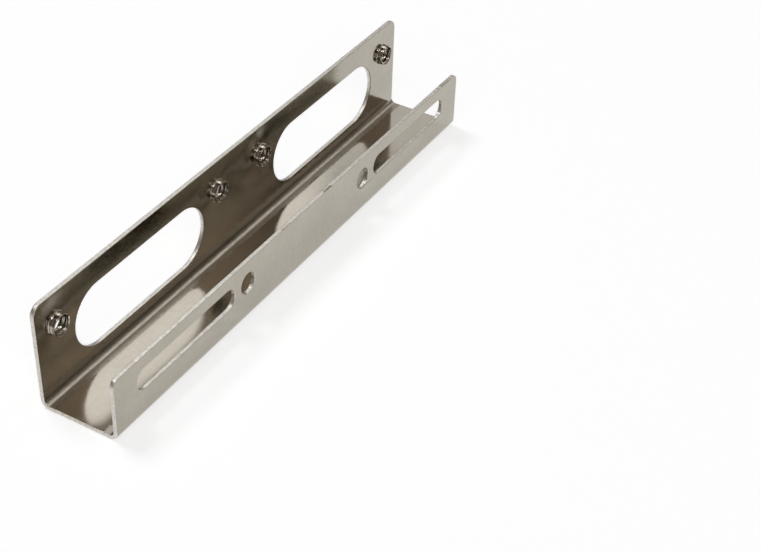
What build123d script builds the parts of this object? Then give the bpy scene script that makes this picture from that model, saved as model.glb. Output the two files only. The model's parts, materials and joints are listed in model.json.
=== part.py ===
"""Drive bay adapter bracket: one strip of steel sheet, punched, tapped and folded into a channel.

A pair of these holds a 2.5 inch drive in a 3.5 inch bay. Each bracket lies along Y with its web on the
floor. The tall flange, at -X, is screwed to the bay, and the short flange, at +X, to the drive.
All sizes are in millimetres, and the origin is the middle of the web's underside.
"""
from build123d import *
import os

# Sheet and folds, measured outside
length = 111.5
width = 15.6
tall_height = 20.5
short_height = 12.5
thickness = 0.8
inside_bend_radius = 1.0
tall_corner_radius = 2.0
short_corner_radius = 1.6

# Two windows in the tall flange, which let a screwdriver reach the drive's screws
window_length = 35.4
window_height = 12.2
window_spacing = 57.8
window_level = 9.8

# Four tapped collars in the tall flange, drawn inward, for the bay's screws
outer_collar_spacing = 101.6
inner_collar_spacing = 13.7
collar_level = 14.55
thread_radius = 1.75
collar_wall = 0.25
collar_rise = 1.15
collar_root_radius = 0.3
collar_entry_radius = 0.2
thread_lead = 0.15

# Two slots and two round holes in the short flange, for the drive's screws
slot_length = 27.0
slot_width = 4.2
slot_spacing = 73.0
hole_diameter = 4.1
hole_spacing = 38.0
drive_screw_level = 7.85

# How far a cutter reaches past the face that it cuts
overrun = 1.0

tall_face = -width / 2
short_face = width / 2
collar_radius = thread_radius + collar_wall
collar_tip = thickness + collar_rise
collar_stations = [side * spacing / 2 for spacing in (outer_collar_spacing, inner_collar_spacing) for side in (-1, 1)]


def folded_channel():
    """The bare channel: a U section with both bends, run along the whole length."""
    with BuildPart() as channel:
        with BuildSketch(Plane.XZ) as section:
            with BuildLine():
                Polyline(
                    (tall_face, tall_height),
                    (tall_face, 0),
                    (short_face, 0),
                    (short_face, short_height),
                    (short_face - thickness, short_height),
                    (short_face - thickness, thickness),
                    (tall_face + thickness, thickness),
                    (tall_face + thickness, tall_height),
                    close=True,
                )
            make_face()
            inside_corners = section.vertices().group_by(Axis.Y)[1]
            fillet(inside_corners, inside_bend_radius)
            outside_corners = section.vertices().group_by(Axis.Y)[0]
            fillet(outside_corners, inside_bend_radius + thickness)
        extrude(amount=length / 2, both=True)
        round_free_corners(channel)
    return channel.part


def round_free_corners(channel):
    """Rounds the two free corners of each flange, seen from the side."""
    tall_corners = channel.edges().filter_by(Axis.X).filter_by_position(Axis.X, tall_face, 0)
    fillet(tall_corners.group_by(Axis.Z)[-1], tall_corner_radius)
    short_corners = channel.edges().filter_by(Axis.X).filter_by_position(Axis.X, 0, short_face)
    fillet(short_corners.group_by(Axis.Z)[-1], short_corner_radius)


def flange_cutter(outer_face, inward, level, spacing, draw_shape):
    """A pair of like openings through one flange, set equally to each side of mid-length."""
    plane = Plane.YZ.offset(outer_face - inward * overrun)
    with BuildPart() as cutter:
        with BuildSketch(plane):
            with Locations((-spacing / 2, level), (spacing / 2, level)):
                draw_shape()
        extrude(amount=inward * (thickness + 2 * overrun))
    return cutter.part


def windows():
    """The two large round-ended windows of the tall flange."""
    return flange_cutter(
        tall_face, 1, window_level, window_spacing, lambda: SlotOverall(window_length, window_height)
    )


def drive_slots():
    """The two long slots of the short flange, which let the drive slide along."""
    return flange_cutter(
        short_face, -1, drive_screw_level, slot_spacing, lambda: SlotOverall(slot_length, slot_width)
    )


def drive_holes():
    """The two plain round holes of the short flange, in line with its slots."""
    return flange_cutter(
        short_face, -1, drive_screw_level, hole_spacing, lambda: Circle(hole_diameter / 2)
    )


def collar_boss():
    """A collar before it is bored: it rises from the sheet on a root radius, along the X axis."""
    base_radius = collar_radius + collar_root_radius
    with BuildPart() as boss:
        with BuildSketch(Plane.XY):
            with BuildLine():
                Polyline((thickness, base_radius), (thickness / 2, base_radius), (thickness / 2, 0), (collar_tip, 0))
                Polyline((collar_tip, 0), (collar_tip, collar_radius), (thickness + collar_root_radius, collar_radius))
                CenterArc((thickness + collar_root_radius, base_radius), collar_root_radius, 180, 90)
            make_face()
        revolve(axis=Axis.X)
    return boss.part


def collar_bore():
    """The bore of a collar: a rounded mouth on the outer face, a straight thread wall and a lead at the tip."""
    mouth_radius = thread_radius + collar_entry_radius
    lead_radius = thread_radius + thread_lead
    end = collar_tip + overrun
    with BuildPart() as bore:
        with BuildSketch(Plane.XY):
            with BuildLine():
                CenterArc((collar_entry_radius, mouth_radius), collar_entry_radius, 180, 90)
                Polyline((collar_entry_radius, thread_radius), (collar_tip - thread_lead, thread_radius))
                Polyline((collar_tip - thread_lead, thread_radius), (collar_tip, lead_radius), (end, lead_radius))
                Polyline((end, lead_radius), (end, 0), (-overrun, 0), (-overrun, mouth_radius), (0, mouth_radius))
            make_face()
        revolve(axis=Axis.X)
    return bore.part


def adapter_bracket():
    """The finished bracket, as one solid."""
    bracket = folded_channel() - windows() - drive_slots() - drive_holes()
    boss = collar_boss()
    bore = collar_bore()
    for station in collar_stations:
        place = Pos(tall_face, station, collar_level)
        bracket = bracket + place * boss
        bracket = bracket - place * bore
    bracket.label = "adapter_bracket"
    return bracket


os.makedirs("parts", exist_ok=True)
export_step(adapter_bracket(), "parts/adapter_bracket.step")
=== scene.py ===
"""Looks of the drive bay adapter bracket: nickel-plated sheet steel on a white table, under soft studio light.

Lengths are in metres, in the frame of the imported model. The bracket lies along Y, with its tall flange at -X.
"""

import json
import math

import bmesh
import bpy
from mathutils import Matrix, Vector


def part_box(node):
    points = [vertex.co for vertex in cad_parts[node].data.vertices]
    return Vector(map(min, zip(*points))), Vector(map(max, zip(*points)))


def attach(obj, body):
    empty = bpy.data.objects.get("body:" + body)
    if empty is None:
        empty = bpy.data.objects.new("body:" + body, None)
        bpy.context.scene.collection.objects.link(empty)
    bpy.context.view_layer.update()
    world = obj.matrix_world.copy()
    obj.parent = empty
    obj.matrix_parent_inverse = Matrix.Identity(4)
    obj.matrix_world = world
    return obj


MM = 0.001
NODE = "adapter_bracket"
SLOT = "nickel_plated_steel"

# Camera, solved from the straight edges of the photograph. Its azimuth runs from -Y towards +X.
IMAGE_WIDTH_PX = 761
FOCAL_LENGTH_PX = 1578
SENSOR_MM = 36
CAMERA_AZIMUTH = math.radians(29.127)
CAMERA_ELEVATION = math.radians(37.801)
CAMERA_ROLL = math.radians(2.255)
CAMERA_DISTANCE = 291.14 * MM
CAMERA_SHIFT_RIGHT = 19.95 * MM
CAMERA_SHIFT_DOWN = 4.97 * MM
CAMERA_CLIP_START = 10 * MM

# Edges sharper than this are rounded, after the mesh's seams are welded and its flat faces merged
SHARP_ANGLE = math.radians(30)
WELD_DISTANCE = 0.001 * MM
FLAT_ANGLE = math.radians(0.5)

# Rounding of the sheared edges, and the share of it that the bores and the rims of the thin collars get
EDGE_ROUND = 0.14 * MM
EDGE_SEGMENTS = 3
BORE_EDGE_SHARE = 0.2
RIM_EDGE_SHARE = 0.4
# Distance from a collar's axis within which an edge is its bore's, and within which it is its rim's
COLLAR_RIM = 1.94 * MM
COLLAR_ZONE = 2.8 * MM

# Soft swelling of the sheet around each collar, on both faces of the tall flange: its depth, the distances
# from the collar's axis between which it fades out, and the places along X between which it comes in
DIMPLE_DEPTH = 0.15 * MM
DIMPLE_START = 1.5 * MM
DIMPLE_REACH = 6.0 * MM
DIMPLE_SIDE = (-6.2 * MM, -6.6 * MM)

# Height at which the bends end and the flanges are flat, and the width of the change there
BEND_TOP = 1.8 * MM
BEND_FADE = 0.1 * MM

# Dull strips of the web beside the bends: how far from its middle line they start and are full, how far
# their ragged edge wanders, the height that they end at, and their share of the bends' roughness
SCUFF_START = 4.9 * MM
SCUFF_FULL = 6.1 * MM
SCUFF_RAGGED = 1.4 * MM
SCUFF_TOP = (1.1 * MM, 0.9 * MM)
SCUFF_SHARE = 0.85

# Plating and bare sheared steel: each has a darker and a lighter tone
PLATING_TONES = (0.375, 0.345, 0.291, 1), (0.437, 0.406, 0.347, 1)
BARE_TONES = (0.52, 0.50, 0.455, 1), (0.72, 0.70, 0.655, 1)
PLATING_ROUGHNESS = (0.10, 0.15)
BEND_ROUGHNESS = 0.42
EDGE_ROUGHNESS = 0.42
# Distances from a collar's axis between which sheared edges begin, so that its own edges stay plated
PLATED_COLLAR = (2.3 * MM, 2.6 * MM)
# Range that the sum of two noises mostly keeps to
NOISE_SUM = (0.6, 1.4)

# Unevenness of the surface: strength and depth of each kind
RIPPLE = (0.35, 0.02 * MM)
MOTTLE = (0.25, 0.016 * MM)
GRAIN = (0.25, 0.006 * MM)
PEEL = (0.9, 0.10 * MM)
TEAR = (0.6, 0.04 * MM)

# Thread of a 6-32 screw, cut in each collar: where it starts and ends behind the outer face, how deep its
# foot lies in the wall, how wide its foot and its crest are, and how far it runs on past the cut at each end
THREAD_PITCH = 0.794 * MM
THREAD_RADIUS = 1.75 * MM
THREAD_MINOR_RADIUS = 1.40 * MM
THREAD_START = 0.20 * MM
THREAD_END = 1.84 * MM
THREAD_START_ANGLE = math.radians(200)
THREAD_STEPS_PER_TURN = 72
THREAD_WALL = THREAD_RADIUS + 0.03 * MM
THREAD_HALF_FOOT = 0.47 * THREAD_PITCH
THREAD_HALF_CREST = 0.22 * THREAD_HALF_FOOT
THREAD_RUN_OUT_TURNS = 0.45

# Light of the room where no panel shows: almost none behind the bracket, some behind the camera
WHITE = (1, 1, 1)
WARM = (1, 0.84, 0.73)
ROOM_BACK = 0.01
ROOM_FRONT = 0.22
ROOM_CHANGE = (0.1, -0.7)

# Table top: its paint, and what the camera and the metal see in its place, a thinner paint that carries the
# shadow with a glow that brings it up to white
FLOOR_REACH = 3.0
FLOOR_DROP = 0.01 * MM
FLOOR_PAINT = (0.85, 0.85, 0.85, 1)
FLOOR_THIN_PAINT = (0.6, 0.6, 0.6, 1)
FLOOR_GLOW = (0.985, 0.993, 1, 1)
FLOOR_GLOW_STRENGTH = 0.675

# Panels that the metal mirrors: their azimuths from +Y towards +X and elevations in degrees, and radiance
METAL_PANEL_DISTANCE = 1.0
METAL_PANELS = (
    ("left_low", (-60, -30), (34, 47), 1.42, WHITE),
    ("left_low_far", (-45, -15), (28, 34), 1.06, WHITE),
    ("left_high", (-60, -30), (47, 66), 2.5, WHITE),
    ("back_left", (-30, 0), (46, 66), 1.8, WHITE),
    ("back", (0, 33), (42, 66), 2.2, WHITE),
    ("back_low", (-15, 30), (28, 42), 0.55, WARM),
    ("far_wall", (-40, 40), (4, 26), 0.25, WARM),
    ("back_right", (33, 60), (36, 66), 0.24, WARM),
    ("right_mid", (33, 48), (34, 46), 0.53, WARM),
    ("roof", (-20, 30), (66, 86), 0.9, WARM),
    ("right", (75, 108), (40, 58), 1.55, WHITE),
    ("right_front", (114, 132), (45, 59), 17.0, WHITE),
    ("right_low", (42, 75), (3, 22), 0.4, WARM),
    ("front_left", (192, 240), (58, 88), 4.0, WHITE),
    ("key", (240, 270), (47, 63), 5.0, WHITE),
)
# Panels that light only the table, and cast the bracket's shadow on it
TABLE_PANEL_DISTANCE = 2.5
TABLE_PANELS = (
    ("table_key", (263, 298), (55, 71), 10.0, WHITE),
    ("table_roof", (-60, 60), (64, 90), 1.2, WHITE),
    ("table_fill", (120, 180), (28, 56), 1.6, WHITE),
)


def camera_axes():
    """The camera's right, up and back directions."""
    azimuth, elevation = CAMERA_AZIMUTH, CAMERA_ELEVATION
    back = Vector(
        (math.sin(azimuth) * math.cos(elevation), -math.cos(azimuth) * math.cos(elevation), math.sin(elevation))
    )
    level = Vector((math.cos(azimuth), math.sin(azimuth), 0))
    steep = back.cross(level)
    right = level * math.cos(CAMERA_ROLL) + steep * math.sin(CAMERA_ROLL)
    return right, back.cross(right), back


def add_camera():
    """The camera at the photograph's viewing angle."""
    right, up, back = camera_axes()
    data = bpy.data.cameras.new("camera")
    data.sensor_width = SENSOR_MM
    data.lens = SENSOR_MM * FOCAL_LENGTH_PX / IMAGE_WIDTH_PX
    data.clip_start = CAMERA_CLIP_START
    camera = bpy.data.objects.new("camera", data)
    turned = Matrix((right, up, back)).transposed().to_4x4()
    place = back * CAMERA_DISTANCE + right * CAMERA_SHIFT_RIGHT - up * CAMERA_SHIFT_DOWN
    camera.matrix_world = Matrix.Translation(place) @ turned
    bpy.context.scene.collection.objects.link(camera)
    bpy.context.scene.camera = camera


class Tree:
    """Short calls for building a node tree."""

    def __init__(self, tree):
        self.tree = tree

    def node(self, kind, inputs=None, **settings):
        """A new node, with each input set to a value or linked from a socket."""
        made = self.tree.nodes.new(kind)
        for name, value in settings.items():
            setattr(made, name, value)
        for name, value in (inputs or {}).items():
            if isinstance(value, bpy.types.NodeSocket):
                self.tree.links.new(value, made.inputs[name])
            else:
                made.inputs[name].default_value = value
        return made

    def math(self, operation, first, second=0.0):
        return self.node("ShaderNodeMath", {0: first, 1: second}, operation=operation).outputs["Value"]

    def axes(self, vector):
        """The X, Y and Z of a vector, by name."""
        return self.node("ShaderNodeSeparateXYZ", {"Vector": vector}).outputs


class Shader(Tree):
    """The node tree of a material or the world, emptied."""

    def __init__(self, owner):
        owner.use_nodes = True
        super().__init__(owner.node_tree)
        self.tree.nodes.clear()

    def noise(self, place, size, detail=2.0, roughness=0.5):
        """Noise with bumps of about the given size, from 0 to 1."""
        inputs = {"Vector": place, "Scale": 1 / size, "Detail": detail, "Roughness": roughness}
        return self.node("ShaderNodeTexNoise", inputs).outputs["Fac"]

    def map_range(self, value, old, new, smooth=False):
        kind = "SMOOTHSTEP" if smooth else "LINEAR"
        inputs = {"Value": value, "From Min": old[0], "From Max": old[1], "To Min": new[0], "To Max": new[1]}
        return self.node("ShaderNodeMapRange", inputs, interpolation_type=kind).outputs["Result"]

    def mix_colour(self, factor, first, second):
        """A mix of two colours. Its sockets go by number, because several share a name."""
        return self.node("ShaderNodeMix", {0: factor, 6: first, 7: second}, data_type="RGBA").outputs[2]


def collar_places():
    """The distance along Y from mid-length of each collar pair, and their level."""
    patterns = [m for m in frame["record"]["mounts"] if m["name"].startswith("bay_screws")]
    return [m["dims"]["spacing_x_mm"] * MM / 2 for m in patterns], patterns[0]["pos_m"][2]


def collar_squares(tree, axes):
    """For each collar pair, the squared distance from the axis of the nearer collar."""
    stations, level = collar_places()
    along = tree.math("ABSOLUTE", axes["Y"])
    rise = tree.math("SUBTRACT", axes["Z"], level)
    rise_square = tree.math("MULTIPLY", rise, rise)
    squares = []
    for station in stations:
        off = tree.math("SUBTRACT", along, station)
        squares.append(tree.math("ADD", tree.math("MULTIPLY", off, off), rise_square))
    return squares


def collar_reach(shader, axes):
    """Distance from the axis of the nearest collar."""
    nearest, *others = (shader.math("SQRT", square) for square in collar_squares(shader, axes))
    for other in others:
        nearest = shader.math("MINIMUM", nearest, other)
    return nearest


def dimples(shader, axes, reach):
    """Height, from 0 to 1, of the soft swelling that drawing the collars left in the tall flange."""
    swell = shader.map_range(reach, (DIMPLE_START, DIMPLE_REACH), (1, 0), smooth=True)
    on_flange = shader.map_range(axes["X"], DIMPLE_SIDE, (0, 1))
    return shader.math("MULTIPLY", swell, on_flange)


def sheared(shader, axes, facing, reach):
    """1 on the faces that the shears and punches left across the sheet, 0 on its plated faces and collars."""
    off_side = shader.map_range(shader.math("ABSOLUTE", facing["X"]), (0.97, 0.8), (0, 1), smooth=True)
    on_flange = shader.map_range(axes["Z"], (BEND_TOP, BEND_TOP + BEND_FADE), (0, 1))
    end_on = shader.map_range(shader.math("ABSOLUTE", facing["Y"]), (0.25, 0.6), (0, 1), smooth=True)
    cut = shader.math("MAXIMUM", shader.math("MULTIPLY", off_side, on_flange), end_on)
    return shader.math("MULTIPLY", cut, shader.map_range(reach, PLATED_COLLAR, (0, 1)))


def stretched(shader, axes, facing):
    """1 in the middle of both bends, where folding stretched and dulled the plating, and 0 on the flat faces."""
    slant = shader.math("ABSOLUTE", shader.math("MULTIPLY", facing["X"], facing["Z"]))
    low = shader.map_range(axes["Z"], (BEND_TOP + BEND_FADE, BEND_TOP), (0, 1))
    return shader.math("MULTIPLY", shader.map_range(slant, (0.0, 0.35), (0, 1), smooth=True), low)


def scuffed(shader, axes, place):
    """1 on the strips of the web that the folding dies rubbed dull, next to both bends, with a ragged edge."""
    aside = shader.math("ABSOLUTE", axes["X"])
    ragged = shader.math("MULTIPLY", shader.noise(place, 1.4 * MM, detail=4, roughness=0.6), SCUFF_RAGGED)
    strip = shader.math("ADD", aside, ragged)
    strip = shader.map_range(strip, (SCUFF_START, SCUFF_FULL), (0, 1), smooth=True)
    return shader.math("MULTIPLY", strip, shader.map_range(axes["Z"], SCUFF_TOP, (0, 1)))


def bumped(shader, bumps):
    """The surface's normal after all the bumps, each a height with its strength and depth."""
    chained = {}
    for height, strength, depth in bumps:
        bump = shader.node("ShaderNodeBump", {"Height": height, "Strength": strength, "Distance": depth, **chained})
        chained = {"Normal": bump.outputs["Normal"]}
    return chained["Normal"]


def nickel(name):
    """Nickel plating over sheet steel: a warm grey mirror, blurred by a fine grain and faint ripples."""
    material = bpy.data.materials.new(name)
    shader = Shader(material)
    place = shader.node("ShaderNodeTexCoord").outputs["Object"]
    axes = shader.axes(place)
    facing = shader.axes(shader.node("ShaderNodeNewGeometry").outputs["Normal"])
    reach = collar_reach(shader, axes)
    cut = sheared(shader, axes, facing, reach)
    bent = stretched(shader, axes, facing)
    cloud = shader.noise(place, 9 * MM, detail=3)
    mottle = shader.noise(place, 1.1 * MM, detail=4, roughness=0.6)
    grain = shader.noise(place, 0.16 * MM, detail=2)

    tone = shader.map_range(shader.math("ADD", cloud, mottle), NOISE_SUM, (0, 1))
    patch = shader.map_range(shader.noise(place, 0.6 * MM, detail=4, roughness=0.7), (0.35, 0.65), (0, 1))
    colour = shader.mix_colour(
        cut, shader.mix_colour(tone, *PLATING_TONES), shader.mix_colour(patch, *BARE_TONES)
    )

    blur = shader.map_range(shader.math("ADD", mottle, grain), NOISE_SUM, PLATING_ROUGHNESS)
    dull = shader.math("MULTIPLY", scuffed(shader, axes, place), SCUFF_SHARE)
    dull = shader.math("MAXIMUM", bent, dull)
    blur = shader.math("MAXIMUM", blur, shader.math("MULTIPLY", dull, BEND_ROUGHNESS))
    blur = shader.math("MAXIMUM", blur, shader.math("MULTIPLY", cut, EDGE_ROUGHNESS))

    ripple = shader.noise(place, 5 * MM, detail=1)
    peel = shader.math("MULTIPLY", bent, shader.noise(place, 0.9 * MM, detail=3))
    tear = shader.math("MULTIPLY", cut, shader.noise(place, 0.35 * MM, detail=2))
    swelling = dimples(shader, axes, reach)
    normal = bumped(
        shader,
        (
            (swelling, 1.0, DIMPLE_DEPTH),
            (ripple, *RIPPLE),
            (mottle, *MOTTLE),
            (grain, *GRAIN),
            (peel, *PEEL),
            (tear, *TEAR),
        ),
    )
    surface = shader.node(
        "ShaderNodeBsdfPrincipled", {"Base Color": colour, "Metallic": 1.0, "Roughness": blur, "Normal": normal}
    )
    shader.node("ShaderNodeOutputMaterial", {"Surface": surface.outputs["BSDF"]})
    return material


def edge_weights():
    """A node group that gives each sharp edge its share of the rounding: full, but less on the collars."""
    group = bpy.data.node_groups.new("edge_weights", "GeometryNodeTree")
    for way in ("INPUT", "OUTPUT"):
        group.interface.new_socket("Geometry", in_out=way, socket_type="NodeSocketGeometry")
    nodes = Tree(group)
    place = nodes.axes(nodes.node("GeometryNodeInputPosition").outputs[0])
    share = 1.0
    for square in collar_squares(nodes, place):
        past_bore = nodes.math("GREATER_THAN", square, COLLAR_RIM * COLLAR_RIM)
        past_rim = nodes.math("GREATER_THAN", square, COLLAR_ZONE * COLLAR_ZONE)
        past_bore = nodes.math("MULTIPLY", past_bore, RIM_EDGE_SHARE - BORE_EDGE_SHARE)
        past_rim = nodes.math("MULTIPLY", past_rim, 1 - RIM_EDGE_SHARE)
        steps = nodes.math("ADD", nodes.math("ADD", past_bore, past_rim), BORE_EDGE_SHARE)
        share = nodes.math("MULTIPLY", share, steps)
    turn = nodes.node("GeometryNodeInputMeshEdgeAngle").outputs["Unsigned Angle"]
    weight = nodes.math("MULTIPLY", nodes.math("GREATER_THAN", turn, SHARP_ANGLE), share)
    given = nodes.node("NodeGroupInput")
    stored = nodes.node(
        "GeometryNodeStoreNamedAttribute",
        {"Geometry": given.outputs[0], "Name": "bevel_weight_edge", "Value": weight},
        data_type="FLOAT",
        domain="EDGE",
    )
    nodes.node("NodeGroupOutput", {0: stored.outputs["Geometry"]})
    return group


def add_modifier(piece, name, kind, **settings):
    modifier = piece.modifiers.new(name, kind)
    for setting, value in settings.items():
        setattr(modifier, setting, value)


def dress_bracket(bracket, plating):
    """Gives the bracket its plating and rounds its sheared edges a little."""
    bracket.data.materials.clear()
    bracket.data.materials.append(plating)
    add_modifier(bracket, "weld", "WELD", merge_threshold=WELD_DISTANCE)
    add_modifier(bracket, "flat", "DECIMATE", decimate_type="DISSOLVE", angle_limit=FLAT_ANGLE)
    add_modifier(bracket, "weigh", "NODES", node_group=edge_weights())
    add_modifier(
        bracket,
        "round_over",
        "BEVEL",
        limit_method="WEIGHT",
        width=EDGE_ROUND,
        segments=EDGE_SEGMENTS,
        use_clamp_overlap=False,
        miter_outer="MITER_ARC",
    )
    add_modifier(bracket, "shade", "WEIGHTED_NORMAL", keep_sharp=False, weight=90)


def ridge_radius(offset):
    """The thread ridge's radius at a distance along the axis from its middle."""
    share = (THREAD_HALF_FOOT - abs(offset)) / (THREAD_HALF_FOOT - THREAD_HALF_CREST)
    return THREAD_WALL - (THREAD_WALL - THREAD_MINOR_RADIUS) * min(max(share, 0.0), 1.0)


def thread_ridge(name, face_x, centre_y, centre_z):
    """The helical ridge of one tapped collar: a closed band on the bore's wall, cut off level at both ends."""
    first = face_x + THREAD_START
    last = face_x + THREAD_END
    turns = (last - first) / THREAD_PITCH + 2 * THREAD_RUN_OUT_TURNS
    profile = (
        (-THREAD_HALF_FOOT, THREAD_WALL),
        (-THREAD_HALF_CREST, THREAD_MINOR_RADIUS),
        (THREAD_HALF_CREST, THREAD_MINOR_RADIUS),
        (THREAD_HALF_FOOT, THREAD_WALL),
    )
    mesh = bmesh.new()
    rings = []
    for step in range(round(turns * THREAD_STEPS_PER_TURN) + 1):
        turn = step / THREAD_STEPS_PER_TURN
        angle = THREAD_START_ANGLE + 2 * math.pi * turn
        middle = first + (turn - THREAD_RUN_OUT_TURNS) * THREAD_PITCH
        ring = []
        for along, radius in profile:
            x = min(max(middle + along, first), last)
            if x != middle + along:
                radius = ridge_radius(x - middle)
            y = centre_y + radius * math.cos(angle)
            z = centre_z + radius * math.sin(angle)
            ring.append(mesh.verts.new((x, y, z)))
        rings.append(ring)
    count = len(profile)
    for near, far in zip(rings, rings[1:]):
        for i in range(count):
            mesh.faces.new((near[i], near[(i + 1) % count], far[(i + 1) % count], far[i]))
    mesh.faces.new(rings[0])
    mesh.faces.new(list(reversed(rings[-1])))
    bmesh.ops.recalc_face_normals(mesh, faces=mesh.faces)
    data = bpy.data.meshes.new(name)
    mesh.to_mesh(data)
    mesh.free()
    data.shade_smooth()
    ridge = bpy.data.objects.new(name, data)
    bpy.context.scene.collection.objects.link(ridge)
    add_modifier(ridge, "shade", "WEIGHTED_NORMAL", keep_sharp=False)
    return ridge


def add_threads(plating):
    """A thread in each of the four collars, at the places that the record states."""
    lowest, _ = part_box(NODE)
    stations, level = collar_places()
    places = [side * station for station in stations for side in (-1, 1)]
    for number, place in enumerate(places, start=1):
        ridge = thread_ridge(f"thread_ridge_{number}", lowest.x, place, level)
        ridge.data.materials.append(plating)
        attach(ridge, "root")


def add_world():
    """A dim room behind a white background."""
    world = bpy.data.worlds.new("studio")
    bpy.context.scene.world = world
    shader = Shader(world)
    forward = shader.axes(shader.node("ShaderNodeTexCoord").outputs["Generated"])["Y"]
    level = shader.map_range(forward, ROOM_CHANGE, (ROOM_BACK, ROOM_FRONT), smooth=True)
    room = shader.node("ShaderNodeBackground", {"Color": (*WARM, 1), "Strength": level})
    white = shader.node("ShaderNodeBackground", {"Color": (*WHITE, 1), "Strength": 1.0})
    seen = shader.node("ShaderNodeLightPath").outputs["Is Camera Ray"]
    mixed = shader.node("ShaderNodeMixShader", {0: seen, 1: room.outputs[0], 2: white.outputs[0]})
    shader.node("ShaderNodeOutputWorld", {"Surface": mixed.outputs[0]})


def direction(azimuth, elevation):
    """A unit vector, with azimuth in degrees from +Y towards +X."""
    a, e = math.radians(azimuth), math.radians(elevation)
    return Vector((math.sin(a) * math.cos(e), math.cos(a) * math.cos(e), math.sin(e)))


def add_panel(name, azimuths, elevations, radiance, colour, distance, on_table):
    """A flat panel that faces the bracket and fills the given ranges of azimuth and elevation.

    It shows in the metal only, or with on_table it lights the table only.
    """
    elevation = sum(elevations) / 2
    aim = direction(sum(azimuths) / 2, elevation)
    half_turn = math.radians(azimuths[1] - azimuths[0]) / 2
    half_rise = math.radians(elevations[1] - elevations[0]) / 2
    data = bpy.data.lights.new(name, "AREA")
    data.shape = "RECTANGLE"
    data.size = 2 * distance * math.tan(half_turn) * math.cos(math.radians(elevation))
    data.size_y = 2 * distance * math.tan(half_rise)
    data.color = colour
    data.energy = radiance * math.pi * data.size * data.size_y
    lamp = bpy.data.objects.new(name, data)
    lamp.location = aim * distance
    lamp.rotation_euler = aim.to_track_quat("Z", "Y").to_euler()
    lamp.visible_diffuse = on_table
    lamp.visible_glossy = not on_table
    bpy.context.scene.collection.objects.link(lamp)


def add_floor():
    """A table top that keeps the bracket's shadow, and glows so that the camera and the metal see it white."""
    material = bpy.data.materials.new("white_table")
    shader = Shader(material)
    paint = shader.node("ShaderNodeBsdfDiffuse", {"Color": FLOOR_PAINT})
    thin_paint = shader.node("ShaderNodeBsdfDiffuse", {"Color": FLOOR_THIN_PAINT})
    glow = shader.node("ShaderNodeEmission", {"Color": FLOOR_GLOW, "Strength": FLOOR_GLOW_STRENGTH})
    path = shader.node("ShaderNodeLightPath")
    seen = shader.math("MAXIMUM", path.outputs["Is Camera Ray"], path.outputs["Is Glossy Ray"])
    lit = shader.node("ShaderNodeAddShader", {0: thin_paint.outputs[0], 1: glow.outputs[0]})
    mixed = shader.node("ShaderNodeMixShader", {0: seen, 1: paint.outputs[0], 2: lit.outputs[0]})
    shader.node("ShaderNodeOutputMaterial", {"Surface": mixed.outputs[0]})
    corners = [(x * FLOOR_REACH, y * FLOOR_REACH, 0) for x, y in ((-1, -1), (1, -1), (1, 1), (-1, 1))]
    data = bpy.data.meshes.new("floor")
    data.from_pydata(corners, [], [(0, 1, 2, 3)])
    data.materials.append(material)
    floor = bpy.data.objects.new("floor", data)
    floor.location.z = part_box(NODE)[0].z - FLOOR_DROP
    bpy.context.scene.collection.objects.link(floor)


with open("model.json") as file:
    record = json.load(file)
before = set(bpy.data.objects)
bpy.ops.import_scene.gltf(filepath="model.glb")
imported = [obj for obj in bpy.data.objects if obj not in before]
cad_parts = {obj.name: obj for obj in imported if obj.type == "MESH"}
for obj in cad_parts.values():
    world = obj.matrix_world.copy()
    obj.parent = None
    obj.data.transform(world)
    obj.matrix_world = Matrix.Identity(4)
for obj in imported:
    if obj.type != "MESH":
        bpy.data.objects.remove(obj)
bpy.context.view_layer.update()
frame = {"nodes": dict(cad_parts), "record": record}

plating = nickel(SLOT)
dress_bracket(frame["nodes"][NODE], plating)
add_threads(plating)

add_floor()
add_world()
for panel in METAL_PANELS:
    add_panel(*panel, distance=METAL_PANEL_DISTANCE, on_table=False)
for panel in TABLE_PANELS:
    add_panel(*panel, distance=TABLE_PANEL_DISTANCE, on_table=True)
add_camera()
bpy.context.scene.view_settings.view_transform = "Standard"
